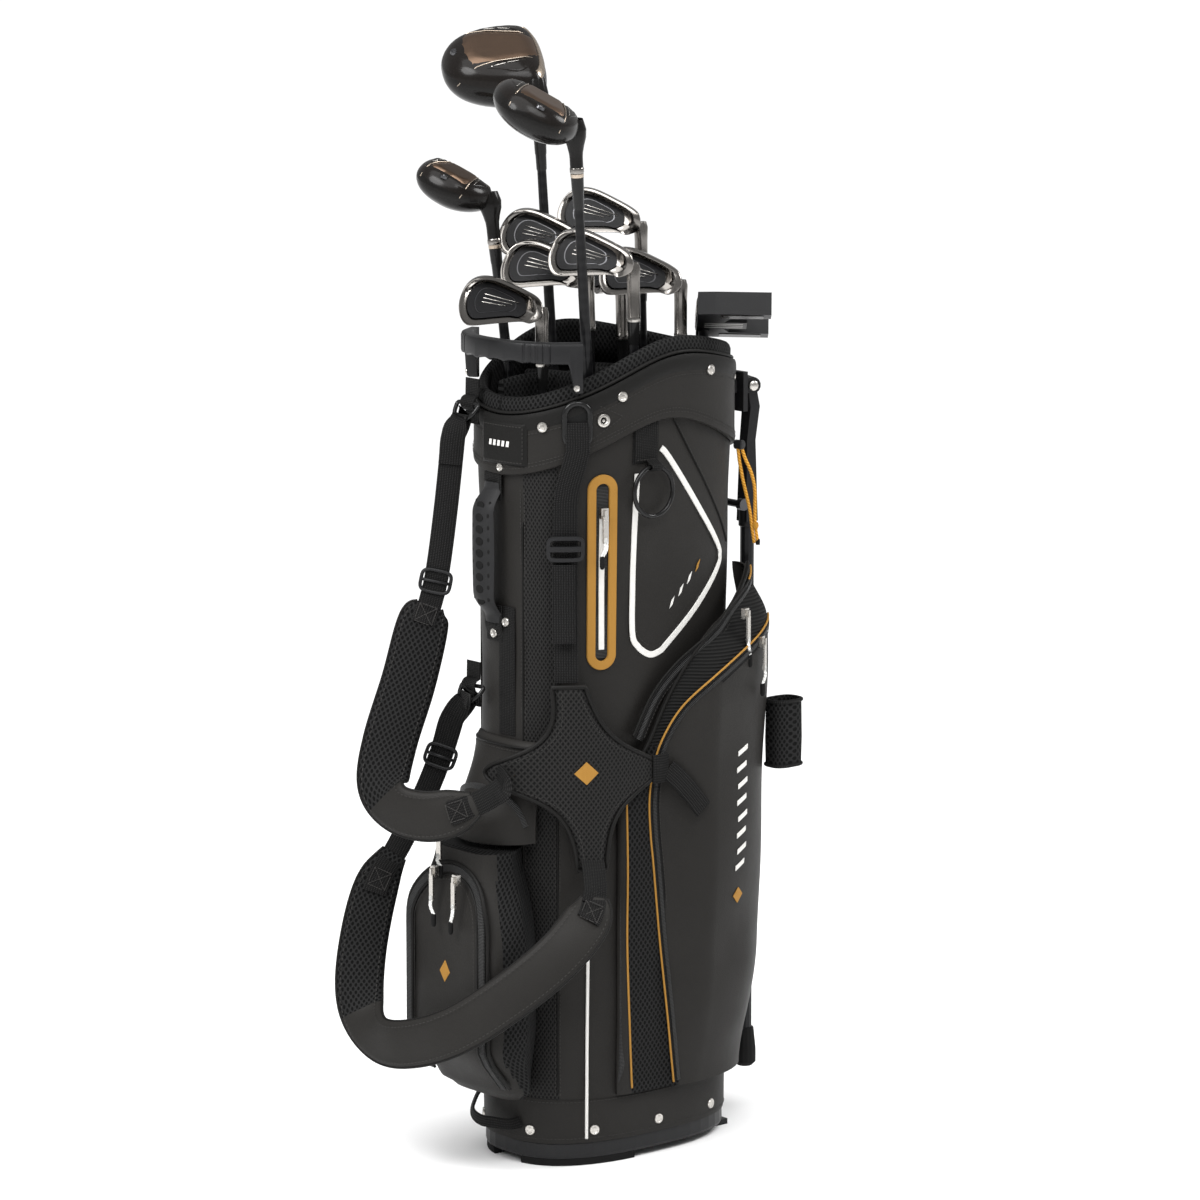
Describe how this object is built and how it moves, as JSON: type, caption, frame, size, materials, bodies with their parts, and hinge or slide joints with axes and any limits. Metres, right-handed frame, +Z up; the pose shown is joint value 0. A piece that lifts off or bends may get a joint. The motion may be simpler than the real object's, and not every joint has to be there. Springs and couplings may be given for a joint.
{
  "type": "golf club set",
  "caption": "Upright golf stand bag with folding legs, zipped pockets, shoulder straps and a set of woods, irons and a putter that lift out.",
  "frame": {"origin": "centre of the underside of the base, on the floor", "axes": "+Z up; -X the spine with the handles and ball pocket; +X the folding legs; -Y the clothes pocket"},
  "size_m": [0.465, 0.3551, 1.1698],
  "materials": {
    "coated": "matte coated fabric",
    "weave": "textured weave",
    "mesh": "air mesh padding",
    "webbing": "woven webbing",
    "moulded": "satin moulded",
    "grip_rubber": "soft ribbed",
    "foot_rubber": "matte",
    "zinc": "satin nickel",
    "steel": "satin",
    "black_rod": "black",
    "black_ring": "gloss",
    "leg_tube": "black anodised",
    "bungee": "braided elastic",
    "wood_head": "gloss black and bronze",
    "iron_head": "mirror",
    "putter_head": "satin gunmetal",
    "shaft": "dark satin graphite"
  },
  "bodies": {
    "bag": {"base_tray": "moulded", "foot_pad_near": "foot_rubber", "foot_pad_far": "foot_rubber", "kick_foot_pin": "steel", "bag_sleeve": "weave", "top_cuff": "coated", "rim_pad": "mesh", "divider": "mesh", "lift_handle": "moulded", "carry_handle": "grip_rubber", "clothes_pocket": "coated", "ball_pocket": "coated", "accessory_pocket": "coated", "umbrella_sleeve": "mesh", "strap_hub": "mesh", "front_web": "webbing", "ladder_lock": "moulded", "upper_strap": "coated", "lower_strap": "coated", "stand_bracket": "moulded", "leg_pin_near": "steel", "leg_pin_far": "steel", "bungee": "bungee"},
    "kick_foot": {"kick_foot": "moulded"},
    "push_rod": {"push_rod": "black_rod"},
    "leg_near": {"leg_near": "leg_tube", "leg_foot_near": "foot_rubber"},
    "leg_far": {"leg_far": "leg_tube", "leg_foot_far": "foot_rubber"},
    "d_ring_upper": {"d_ring_upper": "black_ring"},
    "d_ring_lower": {"d_ring_lower": "black_ring"},
    "towel_ring": {"towel_ring": "black_ring"},
    "valuables_slider": {"valuables_slider": "zinc"},
    "clothes_slider_upper": {"clothes_slider_upper": "zinc"},
    "clothes_slider_lower": {"clothes_slider_lower": "zinc"},
    "accessory_slider": {"accessory_slider": "zinc"},
    "ball_slider_left": {"ball_slider_left": "zinc"},
    "ball_slider_right": {"ball_slider_right": "zinc"},
    "driver": {"driver_shaft": "shaft", "driver_head": "wood_head"},
    "fairway_wood": {"fairway_wood_shaft": "shaft", "fairway_wood_head": "wood_head"},
    "hybrid": {"hybrid_shaft": "shaft", "hybrid_head": "wood_head"},
    "iron_5": {"iron_5_shaft": "shaft", "iron_5_head": "iron_head"},
    "iron_6": {"iron_6_shaft": "shaft", "iron_6_head": "iron_head"},
    "iron_7": {"iron_7_shaft": "shaft", "iron_7_head": "iron_head"},
    "iron_8": {"iron_8_shaft": "shaft", "iron_8_head": "iron_head"},
    "iron_9": {"iron_9_shaft": "shaft", "iron_9_head": "iron_head"},
    "pitching_wedge": {"pitching_wedge_shaft": "shaft", "pitching_wedge_head": "iron_head"},
    "sand_wedge": {"sand_wedge_shaft": "shaft", "sand_wedge_head": "iron_head"},
    "putter": {"putter_shaft": "shaft", "putter_head": "putter_head"}
  },
  "joints": [
    {"name": "leg_near_swing", "type": "hinge", "parent": "bag", "child": "leg_near", "pos_m": [0.165, -0.038, 0.798], "axis": [-0.342, -0.9397, 0], "range_deg": [0, 32]},
    {"name": "leg_far_swing", "type": "hinge", "parent": "bag", "child": "leg_far", "pos_m": [0.165, 0.038, 0.798], "axis": [0.342, -0.9397, 0], "range_deg": [0, 32]},
    {"name": "push_rod_slide", "type": "slide", "parent": "bag", "child": "push_rod", "axis": [0, 0, 1], "range_m": [0, 0.021]},
    {"name": "kick_foot_tilt", "type": "hinge", "parent": "bag", "child": "kick_foot", "pos_m": [0.062, 0, 0.008], "axis": [0, -1, 0], "range_deg": [0, 14.5]},
    {"name": "d_ring_upper_swing", "type": "hinge", "parent": "bag", "child": "d_ring_upper", "pos_m": [-0.146, 0.044, 0.796], "axis": [0, 1, 0], "range_deg": [-20, 25]},
    {"name": "d_ring_lower_swing", "type": "hinge", "parent": "bag", "child": "d_ring_lower", "pos_m": [-0.1415, 0.044, 0.5], "axis": [0, 1, 0], "range_deg": [-20, 25]},
    {"name": "towel_ring_swing", "type": "hinge", "parent": "bag", "child": "towel_ring", "pos_m": [-0.01903, -0.1008, 0.735], "axis": [-1, 0, 0], "range_deg": [0, 70]},
    {"name": "valuables_zip", "type": "slide", "parent": "bag", "child": "valuables_slider", "axis": [0, 0, -1], "range_m": [0, 0.12]},
    {"name": "clothes_zip_upper", "type": "slide", "parent": "bag", "child": "clothes_slider_upper", "axis": [-0.8129, -0.315, -0.4899], "range_m": [0, 0.03]},
    {"name": "clothes_zip_lower", "type": "slide", "parent": "bag", "child": "clothes_slider_lower", "axis": [-0.8176, -0.4698, -0.3328], "range_m": [0, 0.03]},
    {"name": "accessory_zip", "type": "slide", "parent": "bag", "child": "accessory_slider", "axis": [0, -1, 0], "range_m": [-0.015, 0.02]},
    {"name": "ball_zip_left", "type": "hinge", "parent": "bag", "child": "ball_slider_left", "pos_m": [-0.207, 0, 0.258], "axis": [1, 0, 0], "range_deg": [0, 50]},
    {"name": "ball_zip_right", "type": "hinge", "parent": "bag", "child": "ball_slider_right", "pos_m": [-0.207, 0, 0.258], "axis": [1, 0, 0], "range_deg": [-50, 0]},
    {"name": "driver_lift", "type": "slide", "parent": "bag", "child": "driver", "axis": [0.0017, 0.0906, 0.9959], "range_m": [0, 0.86]},
    {"name": "fairway_wood_lift", "type": "slide", "parent": "bag", "child": "fairway_wood", "axis": [-0.1096, -0.052, 0.9926], "range_m": [0, 0.86]},
    {"name": "hybrid_lift", "type": "slide", "parent": "bag", "child": "hybrid", "axis": [-0.0503, 0.1044, 0.9933], "range_m": [0, 0.86]},
    {"name": "iron_5_lift", "type": "slide", "parent": "bag", "child": "iron_5", "axis": [-0.0018, 0.0192, 0.9998], "range_m": [0, 0.86]},
    {"name": "iron_6_lift", "type": "slide", "parent": "bag", "child": "iron_6", "axis": [-0.0331, 0.007, 0.9994], "range_m": [0, 0.86]},
    {"name": "iron_7_lift", "type": "slide", "parent": "bag", "child": "iron_7", "axis": [-0.0087, 0.0018, 1], "range_m": [0, 0.86]},
    {"name": "iron_8_lift", "type": "slide", "parent": "bag", "child": "iron_8", "axis": [-0.0454, -0.0052, 0.999], "range_m": [0, 0.86]},
    {"name": "iron_9_lift", "type": "slide", "parent": "bag", "child": "iron_9", "axis": [0.0052, 0.007, 1], "range_m": [0, 0.86]},
    {"name": "pitching_wedge_lift", "type": "slide", "parent": "bag", "child": "pitching_wedge", "axis": [-0.0052, 0.0175, 0.9998], "range_m": [0, 0.86]},
    {"name": "sand_wedge_lift", "type": "slide", "parent": "bag", "child": "sand_wedge", "axis": [0.0174, 0.0314, 0.9994], "range_m": [0, 0.86]},
    {"name": "putter_lift", "type": "slide", "parent": "bag", "child": "putter", "axis": [0.014, -0.0087, 0.9999], "range_m": [0, 0.86]}
  ],
  "couplings": [
    {"joint": "leg_far_swing", "follows": "leg_near_swing", "ratio": 1},
    {"joint": "push_rod_slide", "follows": "leg_near_swing", "m_per_rad": 0.0367},
    {"joint": "kick_foot_tilt", "follows": "leg_near_swing", "ratio": 0.4375}
  ]
}
